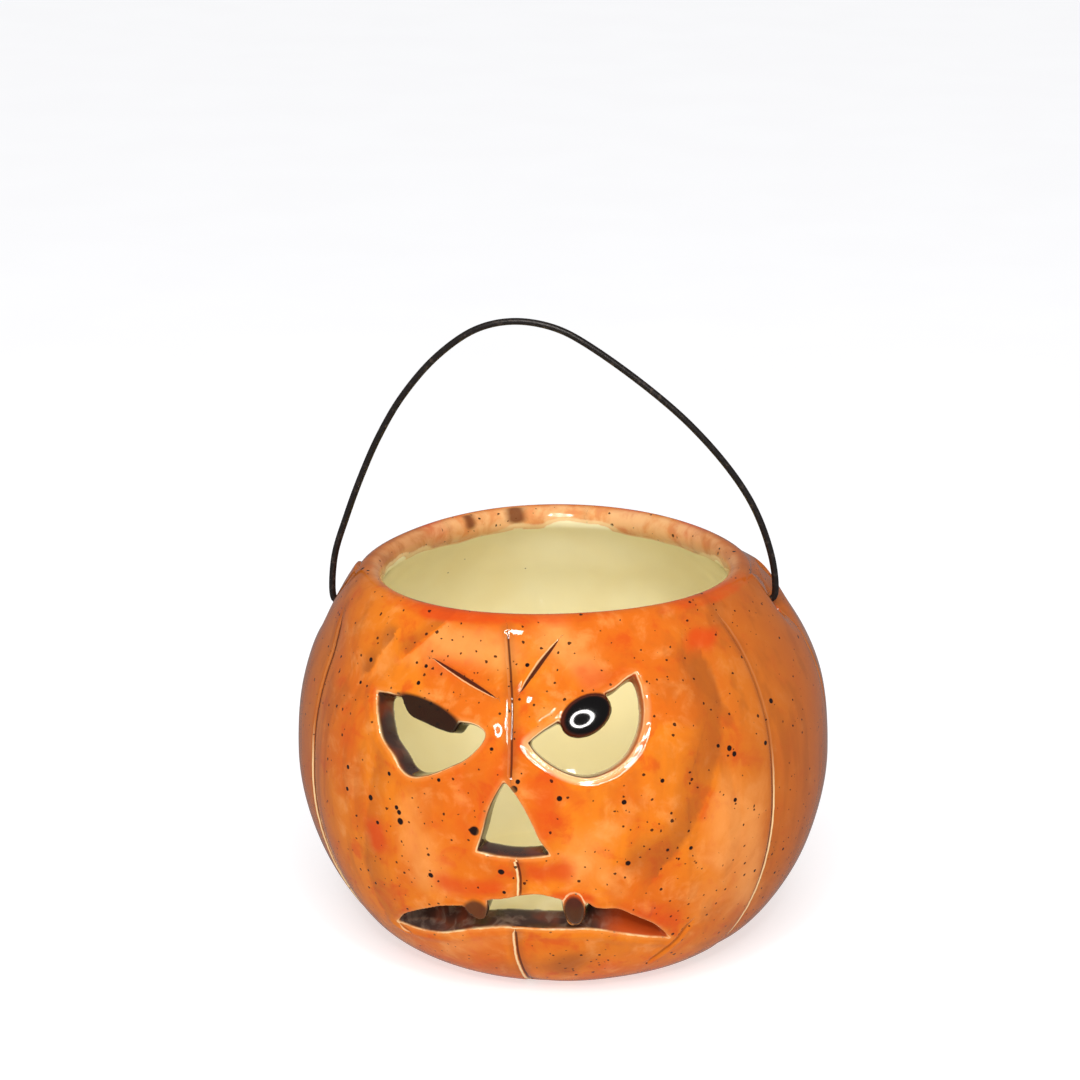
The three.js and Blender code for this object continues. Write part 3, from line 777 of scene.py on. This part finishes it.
def markGlaze(pot):
    # what the glaze reads: distances in millimetres that the material turns into crisp lines, and brushed shares; some
    # marks hold painted shade and a painted highlight
    place = layout(readPoints(pot.data))
    work, reds = brushAndShadeWork, len(brushAndShadeWork["rimReds"])
    front = bell(np.maximum(np.abs(place["u"]) - 60, 0), 8)
    brushAndShade = sum(strength * strokeShare(place, route, half, sharp) for route, half, strength, sharp in work["strokes"])
    blush = sum(strength * strokeShare(place, route, half) for route, half, strength in work["blushes"])
    wrap = [bell(turnFrom(at, place["azimuth"]), reach) for at, reach in work["rimReds"] + work["rimBlots"]]
    onRim = smoothStep(section["top"] - 2.2, section["top"] - 0.3, place["v"])
    a = np.radians(place["azimuth"])
    over = -place["lift"] + np.maximum(section["top"] - place["v"], 0) * smoothStep(3.5, 5.5, -place["lift"])
    pour = (0.4 * np.sin(5 * a + 1) + 0.3 * np.sin(11 * a + 2.5) + 0.2 * np.sin(23 * a)
            + 1.5 * np.sin(a * 2) ** 2 * (np.cos(a) < 0))
    sides, back = smoothStep(0.95, 0.2, np.cos(a)), smoothStep(-0.3, -0.95, np.cos(a))
    roll, gap = eyeRoll(place)
    marks = linesNear(place)[0]
    marks.update({
        "cutEdge": faceDistance(place),
        "depth": place["lift"],
        # roll: where the right eye's rolled lower edge gets a painted highlight
        "roll": roll * smoothStep(4.2, 2.6, gap),
        "pourLine": over - pour,
        "lip": smoothStep(0.5, 2.4, over) * onRim * (0.5 * sides + 0.5 * back),
        # brushed strokes, with the right cheek's painted shade among the browner ones
        "brushAndShade": np.clip(brushAndShade * front, -1, 1),
        "blush": np.clip(blush * front + 0.75 * onRim * sum(wrap[:reds]), 0, 1),
        "blot": onRim * smoothStep(0.8, 2.0, over) * smoothStep(6.2, 4.6, over) * sum(wrap[reds:]),
        "holeEdge": dentAt(place)[1],
        # around: painted shade, none at the front and strongest at the pot's sides
        "around": np.abs(np.sin(a + math.radians(5))) ** 3 * (np.cos(a) > -0.6),
    })
    for name, pad in {**clayPads, **paintedMarks}.items():
        marks[name] = padDistance(place, pad)
    for name, values in marks.items():
        pot.data.attributes.new(name, "FLOAT", "POINT").data.foreach_set("value", values.astype(np.float32))
    return list(marks)


# the wire bail, in mm
wire = {
    "iron": (34, 29, 27),
    "wornIron": (70, 58, 50),
    "radius": 0.8,
    "bendRadius": 2.2,
    "hookClearance": 0.9,
    "hookDrop": 5.2,
    "arch": [(-54.6, 89.6), (-51.5, 99.6), (-47.8, 109.5), (-43.4, 119.4), (-37.7, 129.2), (-29.4, 139),
             (-20.2, 145.6), (-11.6, 147.66), (-2.2, 146.4), (6.7, 141.9), (29.1, 124.6), (43.2, 107.4), (48.9, 93.5)],
    "sides": 20,
}


def wireBend(before, corner, after):
    way = [(before - corner).normalized() * wire["bendRadius"], (after - corner).normalized() * wire["bendRadius"]]
    return [corner + way[0], corner + (way[0] + way[1]) * 0.293, corner + way[1]]


def wireEnd(side, legX, arch):
    hookX = wallAtHinge(side, -potShape["wall"]) - side * (wire["hookClearance"] + wire["radius"])
    hook, elbow = Vector((hookX, 0, hingeHeight(hookX))), Vector((legX, 0, hingeHeight(legX)))
    tip = hook - Vector((0, 0, wire["hookDrop"]))
    return [tip] + wireBend(tip, hook, elbow) + wireBend(hook, elbow, arch)


def bendWire():
    arch = [Vector((x, 0, z)) for x, z in wire["arch"]]
    route = wireEnd(-1, bailSeat["leftLegX"], arch[0]) + arch + wireEnd(1, bailSeat["rightLegX"], arch[-1])[::-1]
    line = [Vector(p) for p in curveThrough([tuple(p) for p in route], 0.75)]
    bm = bmesh.new()
    ring = bmesh.ops.create_circle(bm, segments=wire["sides"], radius=wire["radius"])["verts"]
    facing, place = Vector((0, 0, 1)), Vector((0, 0, 0))
    edges = list(bm.edges)
    for i, point in enumerate(line):
        heading = (line[min(i + 1, len(line) - 1)] - line[max(i - 1, 0)]).normalized()
        if i:
            made = bmesh.ops.extrude_edge_only(bm, edges=edges)["geom"]
            ring = [g for g in made if isinstance(g, bmesh.types.BMVert)]
            edges = [g for g in made if isinstance(g, bmesh.types.BMEdge)]
        turn = facing.rotation_difference(heading).to_matrix().to_4x4()
        bmesh.ops.transform(bm, matrix=Matrix.Translation(point) @ turn @ Matrix.Translation(-place), verts=ring)
        facing, place = heading, point
    ends = [[e for e in bm.edges if e.is_boundary and (e.verts[0].co - p).length < 2] for p in (line[0], line[-1])]
    for end in ends:
        cap = bmesh.ops.contextual_create(bm, geom=end)["faces"]
        bmesh.ops.bevel(bm, geom=list(cap[0].edges), offset=0.35, segments=4, profile=0.5, affect="EDGES", material=-1)
    bmesh.ops.recalc_face_normals(bm, faces=bm.faces)
    return newPiece("black_bail", bm)


# glaze and paint
def tone(red, green, blue):
    made = [c / 255 / 12.92 if c / 255 <= 0.04045 else ((c / 255 + 0.055) / 1.055) ** 2.4 for c in (red, green, blue)]
    return (*made, 1)


def feed(tree, node, feeds):
    # gives a node's inputs their values, or links them to another node's output
    for key, value in feeds.items():
        if isinstance(value, bpy.types.NodeSocket):
            tree.links.new(value, node.inputs[key])
        else:
            node.inputs[key].default_value = value


def addNode(tree, kind, feeds=None, **choices):
    node = tree.nodes.new("ShaderNode" + kind)
    for name, value in choices.items():
        setattr(node, name, value)
    feed(tree, node, feeds or {})
    return node


def ramp(tree, value, low, high, fromZero=0.0, toOne=1.0):
    feeds = {"Value": value, "From Min": low, "From Max": high, "To Min": fromZero, "To Max": toOne}
    return addNode(tree, "MapRange", feeds, interpolation_type="SMOOTHSTEP").outputs["Result"]


def mixColor(tree, share, a, b):
    return addNode(tree, "Mix", {0: share, 6: a, 7: b}, data_type="RGBA").outputs[2]


def doMath(tree, operation, a, b=0.0, c=0.0):
    return addNode(tree, "Math", {0: a, 1: b, 2: c}, operation=operation).outputs[0]


def vectorMath(tree, operation, a, feeds):
    return addNode(tree, "VectorMath", {0: a, **feeds}, operation=operation).outputs


def noise(tree, vector, scale, detail, roughness=0.5, distortion=0.0):
    feeds = {"Vector": vector, "Scale": scale, "Detail": detail, "Roughness": roughness, "Distortion": distortion}
    return addNode(tree, "TexNoise", feeds).outputs["Fac"]


def bump(tree, height, distance, strength):
    return addNode(tree, "Bump", {"Height": height, "Distance": distance, "Strength": strength}).outputs["Normal"]


def newMaterial(name):
    material = bpy.data.materials.new(name)
    material.use_nodes = True
    tree = material.node_tree
    return material, tree, tree.nodes["Principled BSDF"]


def startGroup(name, inputs, output):
    # a node group that reads a place and a few values and puts out one mask
    group = bpy.data.node_groups.new(name, "ShaderNodeTree")
    for socket, value in {"Vector": (0.0, 0.0, 0.0), **inputs}.items():
        kind = "NodeSocketVector" if isinstance(value, tuple) else "NodeSocketFloat"
        group.interface.new_socket(name=socket, in_out="INPUT", socket_type=kind).default_value = value
    group.interface.new_socket(name=output, in_out="OUTPUT", socket_type="NodeSocketFloat")
    return group, group.nodes.new("NodeGroupInput").outputs, group.nodes.new("NodeGroupOutput").inputs


def useGroup(tree, group, feeds):
    return addNode(tree, "Group", feeds, node_tree=group).outputs[0]


def ironSpeckGroup():
    # specks of iron that melt through a glaze
    inputs = {"Spacing": 0.004, "Smallest": 0.06, "Largest": 0.25, "Share": 0.5}
    group, given, put = startGroup("ironSpecks", inputs, "Speck")
    wobble = addNode(group, "TexNoise", {"Vector": given["Vector"], "Scale": 1500, "Detail": 1}).outputs["Color"]
    shift = vectorMath(group, "SUBTRACT", wobble, {1: (0.5, 0.5, 0.5)})[0]
    shift = vectorMath(group, "SCALE", shift, {"Scale": 0.0005})[0]
    place = vectorMath(group, "ADD", given["Vector"], {1: shift})[0]
    scale = doMath(group, "DIVIDE", 1.0, given["Spacing"])
    cells = addNode(group, "TexVoronoi", {"Vector": place, "Scale": scale, "Randomness": 1}).outputs
    dice = addNode(group, "SeparateColor", {"Color": cells["Color"]}).outputs
    size = doMath(group, "MULTIPLY_ADD", doMath(group, "POWER", dice["Red"], 3.0), given["Largest"], given["Smallest"])
    size = doMath(group, "MULTIPLY", size, doMath(group, "LESS_THAN", dice["Green"], given["Share"]))
    edge = doMath(group, "SUBTRACT", size, cells["Distance"])
    group.links.new(ramp(group, edge, 0.0, 0.045), put["Speck"])
    return group


def spotGroup():
    # one larger speck with a slightly melted edge, added to those before it
    group, given, put = startGroup("ironSpot", {"Centre": (0.0, 0.0, 0.0), "Radius": 0.0005, "Before": 0.0}, "Spots")
    away = vectorMath(group, "DISTANCE", given["Vector"], {1: given["Centre"]})["Value"]
    spot = ramp(group, doMath(group, "DIVIDE", away, given["Radius"]), 1.15, 0.8)
    group.links.new(doMath(group, "MAXIMUM", spot, given["Before"]), put["Spots"])
    return group


def breakGroup():
    # where glaze thins over an edge it breaks to a pale line of uneven width
    group, given, put = startGroup("glazeBreak", {"Distance": 1.0, "Middle": 0.3, "Width": 0.3}, "Line")
    wander = doMath(group, "MULTIPLY_ADD", noise(group, given["Vector"], 420, 3), 0.36, -0.18)
    away = doMath(group, "SUBTRACT", given["Distance"], given["Middle"])
    away = doMath(group, "ABSOLUTE", doMath(group, "ADD", away, wander))
    share = doMath(group, "DIVIDE", away, given["Width"])
    group.links.new(doMath(group, "SUBTRACT", 1.0, ramp(group, share, 0.3, 1.2)), put["Line"])
    return group


def washGroup():
    # a brushed share with watery edges: the plain share goes in, its own ragged one comes out
    group, given, put = startGroup("wateryWash", {"Share": 0.0, "Ragged": 0.5}, "Wash")
    uneven = doMath(group, "SUBTRACT", noise(group, given["Vector"], 120, 4, 0.5, 0.8), 0.5)
    ragged = doMath(group, "MULTIPLY", uneven, given["Ragged"])
    share = doMath(group, "MULTIPLY_ADD", ragged, ramp(group, given["Share"], 0.03, 0.2), given["Share"])
    group.links.new(ramp(group, share, 0.05, 0.95), put["Wash"])
    return group


glaze = {
    "orange": tone(210, 101, 16),
    "peach": tone(234, 152, 78),
    "amber": tone(220, 119, 20),
    "redOrange": tone(204, 66, 10),
    "brown": tone(150, 76, 24),
    # painted shade: the browner tone of the pot's sides, where the front light falls off
    "side": tone(176, 92, 30),
    "lip": tone(240, 186, 128),
    "blot": tone(112, 54, 20),
    "cream": tone(246, 214, 160),
    "speck": tone(28, 9, 4),
    "insideCream": tone(255, 248, 208),
    "insideOlive": tone(250, 238, 190),
    "cutBrown": tone(62, 40, 32),
    # painted highlight: pale grey-brown glints on the mouth's dark cut faces
    "cutHighlight": tone(150, 126, 108),
    "cutRed": tone(186, 74, 26),
    "lineBrown": tone(70, 24, 8),
    "fangBrown": tone(38, 25, 20),
    "tabBrown": tone(16, 9, 6),
    "black": tone(4, 2, 2),
}


def glazeMaterial(groups, marks):
    material, tree, shader = newMaterial("pumpkin_glaze")
    coords = addNode(tree, "TexCoord").outputs["Object"]
    x, y, z = addNode(tree, "SeparateXYZ", {0: coords}).outputs
    mark = {name: addNode(tree, "Attribute", attribute_name=name, attribute_type="GEOMETRY").outputs["Fac"]
            for name in marks}

    def ease(value, *limits):
        return ramp(tree, value, *limits)

    def times(share, *factors):
        for factor in factors:
            share = doMath(tree, "MULTIPLY", share, factor)
        return share

    def most(a, b):
        return doMath(tree, "MAXIMUM", a, b)

    def size(value):
        return doMath(tree, "ABSOLUTE", value)

    def wash(share, ragged):
        return useGroup(tree, groups["wash"], {"Vector": coords, "Share": share, "Ragged": ragged})

    def paleLine(distance, middle, width):
        feeds = {"Vector": coords, "Distance": distance, "Middle": middle, "Width": width}
        return useGroup(tree, groups["break"], feeds)

    def specks(spacing, smallest, largest, share):
        feeds = {"Vector": coords, "Spacing": spacing, "Smallest": smallest, "Largest": largest, "Share": share}
        return useGroup(tree, groups["specks"], feeds)

    def coated(color, *coats):
        # coats of glaze one over the other: how much of each, and its tone
        for share, name in coats:
            color = mixColor(tree, share, color, glaze[name])
        return color

    # outside: mottled orange, brushed thicker and thinner, with painted shade at the sides and on the right cheek
    broad, fine = noise(tree, coords, 42, 4, 0.55, 0.6), noise(tree, coords, 150, 5, 0.6, 0.4)
    runs = addNode(tree, "Mapping", {"Vector": coords, "Scale": (1, 1, 0.14)}).outputs[0]
    streaks = ease(noise(tree, runs, 210, 3), 0.48, 0.68, 0, 0.4)
    outside = coated(
        glaze["orange"],
        (ease(broad, 0.4, 0.6), "amber"),
        (ease(fine, 0.5, 0.74, 0, 0.6), "peach"),
        (ease(fine, 0.47, 0.3, 0, 0.6), "redOrange"),
        # painted shade: the sides browner
        (ease(mark["around"], 0.1, 0.9, 0, 0.85), "side"),
        (times(streaks, ease(mark["around"], 0.0, 0.5, 0.3, 1)), "brown"),
        # paler and browner strokes; the browner ones hold the right cheek's painted shade
        (times(wash(most(mark["brushAndShade"], 0.0), 0.9), 0.8), "peach"),
        (times(wash(most(times(mark["brushAndShade"], -1.0), 0.0), 0.35), 0.75), "brown"),
        (times(wash(mark["blush"], 1.3), 0.8), "redOrange"),
        (times(mark["lip"], ease(fine, 0.38, 0.6, 0.45, 0.95)), "lip"))

    # pressed lines: dark in the bottom, pale where the glaze breaks on one edge
    ribNear, slitNear = ease(mark["ribGap"], 3.2, 2.2), ease(mark["slitGap"], 2.2, 1.6)
    crisp = most(ease(z, 0.066, 0.046, 0.2, 1), ease(x, 0.03, 0.015))
    crisp = most(crisp, ease(y, -0.02, 0.0))
    paleSide = doMath(tree, "MULTIPLY_ADD", ease(x, 0.02, 0.03), 1.24, -0.62)
    outside = coated(
        outside,
        (ease(mark["ribGap"], 2.6, 0.3, 0, 0.4), "brown"),
        (times(ease(size(mark["rib"]), 0.36, 0.14, 0, 0.85), crisp, ribNear), "lineBrown"),
        (times(paleLine(mark["rib"], paleSide, 0.27), ease(z, 0.06, 0.044, 0.06, 0.9), ribNear), "cream"),
        (times(paleLine(mark["slit"], -0.62, 0.22), 0.55, slitNear), "cream"),
        (times(ease(size(mark["slit"]), 0.62, 0.34, 0, 0.97), ease(z, 0.03, 0.045, 0.35, 1), slitNear), "lineBrown"))

    # specks, cream where the glaze is worn along the cuts, and a painted highlight on the right eye's rolled lower
    # edge
    crowd = ease(noise(tree, coords, 26, 1), 0.38, 0.6, 0.45, 1.0)
    spots = 0.0
    for u, v, radius in brushAndShadeWork["spots"]:
        centre = tuple(onWall(potShape["faceAzimuth"], u, v, -0.3)[0] / 1000)
        feeds = {"Vector": coords, "Centre": centre, "Radius": radius * 0.00115, "Before": spots}
        spots = useGroup(tree, groups["spot"], feeds)
    # painted highlight: cream over the right eye's rolled lower edge, strongest at its lower left, for the lamp's
    # bright band there
    rolled = times(ease(mark["cutEdge"], 2.0, 0.9, 0, 0.6), ease(x, 0.022, 0.012, 0.4, 1))
    outside = coated(
        outside,
        (times(specks(0.002, 0.115, 0.13, crowd), 0.9), "speck"),
        (specks(0.0065, 0.05, 0.07, 0.3), "speck"),
        (spots, "speck"),
        # painted highlight on the rolled eye edge
        (times(mark["roll"], rolled), "cream"),
        (ease(mark["cutEdge"], 1.6, 0.2, 0, 0.35), "peach"),
        (times(paleLine(mark["cutEdge"], 0.22, 0.2), ease(fine, 0.4, 0.6, 0.2, 0.85)), "cream"),
        (times(wash(mark["blot"], 0.8), 0.9), "blot"))

    # inside: olive cream, and a pale scalloped line where the rim's glaze ends on it
    inside = coated(
        glaze["insideCream"],
        (ease(noise(tree, coords, 30, 3), 0.35, 0.65), "insideOlive"),
        (specks(0.006, 0.045, 0.05, 0.4), "speck"))
    brim = doMath(tree, "MULTIPLY_ADD", fine, 0.8, doMath(tree, "SUBTRACT", mark["pourLine"], 0.4))
    color = mixColor(tree, ease(brim, 5.9, 6.1), outside, inside)
    color = coated(color, (times(paleLine(brim, 5.7, 0.4), 0.75), "cream"))

    # cut faces, with painted highlights in the mouth, and what is painted dark
    glintNoise = ease(noise(tree, coords, 260, 3, 0.5, 1.0), 0.45, 0.7, 0, 0.4)
    cutFace = coated(
        glaze["cutBrown"],
        (ease(noise(tree, coords, 90, 3), 0.45, 0.7, 0, 0.3), "cutRed"),
        # painted highlights: pale streaks on the mouth's cut faces
        (times(glintNoise, ease(z, 0.036, 0.03)), "cutHighlight"),
        (ease(x, 0.012, 0.02, 0, 0.92), "cutRed"))
    between = times(ease(mark["cutEdge"], 0.3, 0.0), ease(mark["depth"], -0.15, -0.6))
    color = coated(
        mixColor(tree, between, color, cutFace),
        (ease(mark["holeEdge"], 0.35, -0.05, 0, 0.85), "cutRed"),
        (ease(mark["pupil"], 0.08, -0.04), "lineBrown"),
        (ease(mark["pupil"], -0.08, -0.24), "black"),
        (ease(mark["tab"], 0.18, -0.12, 0, 0.97), "tabBrown"),
        (ease(mark["leftFang"], 0.1, -0.3, 0, 0.85), "fangBrown"),
        (ease(mark["fang"], 0.0, -0.25, 0, 0.92), "fangBrown"),
        (times(paleLine(mark["fang"], 0.04, 0.07), 0.7, ease(z, 0.034, 0.031)), "cream"))

    # body colour under a wet-looking coat
    feed(tree, shader, {
        "Base Color": color, "Roughness": 0.5, "Specular IOR Level": 0.0,
        "Coat Weight": 1.0, "Coat IOR": 1.5, "Coat Roughness": 0.065,
        "Normal": bump(tree, noise(tree, coords, 110, 2, 0.4), 0.0006, 0.2)})
    return material


def wireMaterial():
    material, tree, shader = newMaterial("black_iron")
    worn = noise(tree, addNode(tree, "TexCoord").outputs["Object"], 900, 4)
    feed(tree, shader, {
        "Base Color": mixColor(tree, ramp(tree, worn, 0.55, 0.75), tone(*wire["iron"]), tone(*wire["wornIron"])),
        "Roughness": ramp(tree, worn, 0.3, 0.7, 0.3, 0.48), "Metallic": 0.35,
        "Normal": bump(tree, worn, 0.00015, 0.35)})
    return material


# table, light and camera, in metres and degrees
studio = {
    "cameraPlace": (0.06828, -0.64966, 0.29704),
    "cameraAzimuth": 6.0,
    "pitchDown": 17.161,
    "lens": 96.84,
    "shiftX": -0.0213,
    "table": tone(196, 196, 199),
    "tableCloud": tone(186, 184, 188),
    "tableGlow": 0.6,
    "room": (0.97, 0.98, 1.0, 1),
    "roomLight": 0.42,
    "roomInGlaze": 0.22,   # the room is dimmer in the glaze than it lights
    "daylight": 0.9,
    "lampPlace": (0.06, -0.64, 0.65),
    "lampAim": (0, 0, 0.08),
    "lampRadius": 0.165,
    "lampHole": 0.7,
    "lampTint": (1.0, 0.98, 0.95, 1),
    "lampStrength": 40.0,
}


def layTable():
    bm = bmesh.new()
    bmesh.ops.create_grid(bm, x_segments=2, y_segments=2, size=4)
    floor = newPiece("table_top", bm)
    material, tree, shader = newMaterial("pale_table")
    cloudy = ramp(tree, noise(tree, addNode(tree, "TexCoord").outputs["Object"], 14, 3), 0.3, 0.7, 0, 0.25)
    feed(tree, shader, {
        "Base Color": mixColor(tree, cloudy, studio["table"], studio["tableCloud"]), "Roughness": 0.6,
        "Emission Color": (1, 1, 1, 1), "Emission Strength": studio["tableGlow"]})
    floor.data.materials.append(material)
    floor.visible_glossy = False


def lightRoom():
    world = bpy.data.worlds.new("soft_room")
    world.use_nodes = True
    room = world.node_tree
    path = addNode(room, "LightPath").outputs
    dim = ramp(room, path["Is Glossy Ray"], 0, 1, studio["roomLight"], studio["roomInGlaze"])
    white = doMath(room, "MAXIMUM", dim, path["Is Camera Ray"])
    feed(room, room.nodes["Background"], {"Color": studio["room"], "Strength": white})
    bpy.context.scene.world = world
    daylight = bpy.data.lights.new("overcast", "SUN")
    daylight.energy, daylight.angle = studio["daylight"], math.radians(80)
    overhead = addToScene("overcast", daylight)
    overhead.rotation_euler = (math.radians(30), 0, math.radians(4))
    overhead.visible_glossy = False


def hangRingLamp():
    # a round tube lamp over the camera: its small bright rings are what shows that the glaze is wet-looking
    bm = bmesh.new()
    bmesh.ops.create_circle(bm, segments=48, radius=studio["lampRadius"])
    made = bmesh.ops.extrude_edge_only(bm, edges=list(bm.edges))["geom"]
    inner = [g for g in made if isinstance(g, bmesh.types.BMVert)]
    bmesh.ops.scale(bm, vec=(studio["lampHole"], studio["lampHole"], 1), verts=inner)
    place = Vector(studio["lampPlace"])
    aim = (Vector(studio["lampAim"]) - place).to_track_quat("-Z", "Y").to_matrix().to_4x4()
    bmesh.ops.transform(bm, matrix=Matrix.Translation(place) @ aim, verts=bm.verts)
    lamp = newPiece("ring_lamp", bm)
    material, tree, shader = newMaterial("lamp_tube")
    feed(tree, shader, {"Emission Color": studio["lampTint"], "Emission Strength": studio["lampStrength"]})
    lamp.data.materials.append(material)
    lamp.visible_camera = False


def placeCamera():
    data = bpy.data.cameras.new("camera")
    data.lens, data.sensor_width, data.shift_x = studio["lens"], 36, studio["shiftX"]
    data.clip_start, data.clip_end = 0.01, 50
    camera = addToScene("camera", data)
    camera.location = studio["cameraPlace"]
    camera.rotation_euler = (math.radians(90 - studio["pitchDown"]), 0, math.radians(studio["cameraAzimuth"]))
    bpy.context.scene.camera = camera
    bpy.context.scene.view_settings.view_transform = "Standard"


def finishPiece(piece, material):
    # to metres, shaded smooth, in its one finish
    mesh = piece.data
    mesh.transform(toMetres)
    mesh.materials.clear()
    mesh.materials.append(material)
    for choice, value in (("use_smooth", True), ("material_index", 0)):
        mesh.polygons.foreach_set(choice, [value] * len(mesh.polygons))


# build
layTable()
lightRoom()
hangRingLamp()
placeCamera()
print("studio set")

pot = cutAndFirePot()
marks = markGlaze(pot)
print("pot cut and fired:", len(pot.data.polygons), "triangles")

bail = bendWire()
print("bail bent")

groups = {"specks": ironSpeckGroup(), "spot": spotGroup(), "break": breakGroup(), "wash": washGroup()}
finishPiece(pot, glazeMaterial(groups, marks))
finishPiece(bail, wireMaterial())
print("glazed")

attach(pot, "pot")
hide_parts("pumpkin_pot")
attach(bail, "bail")
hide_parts("wire_bail")
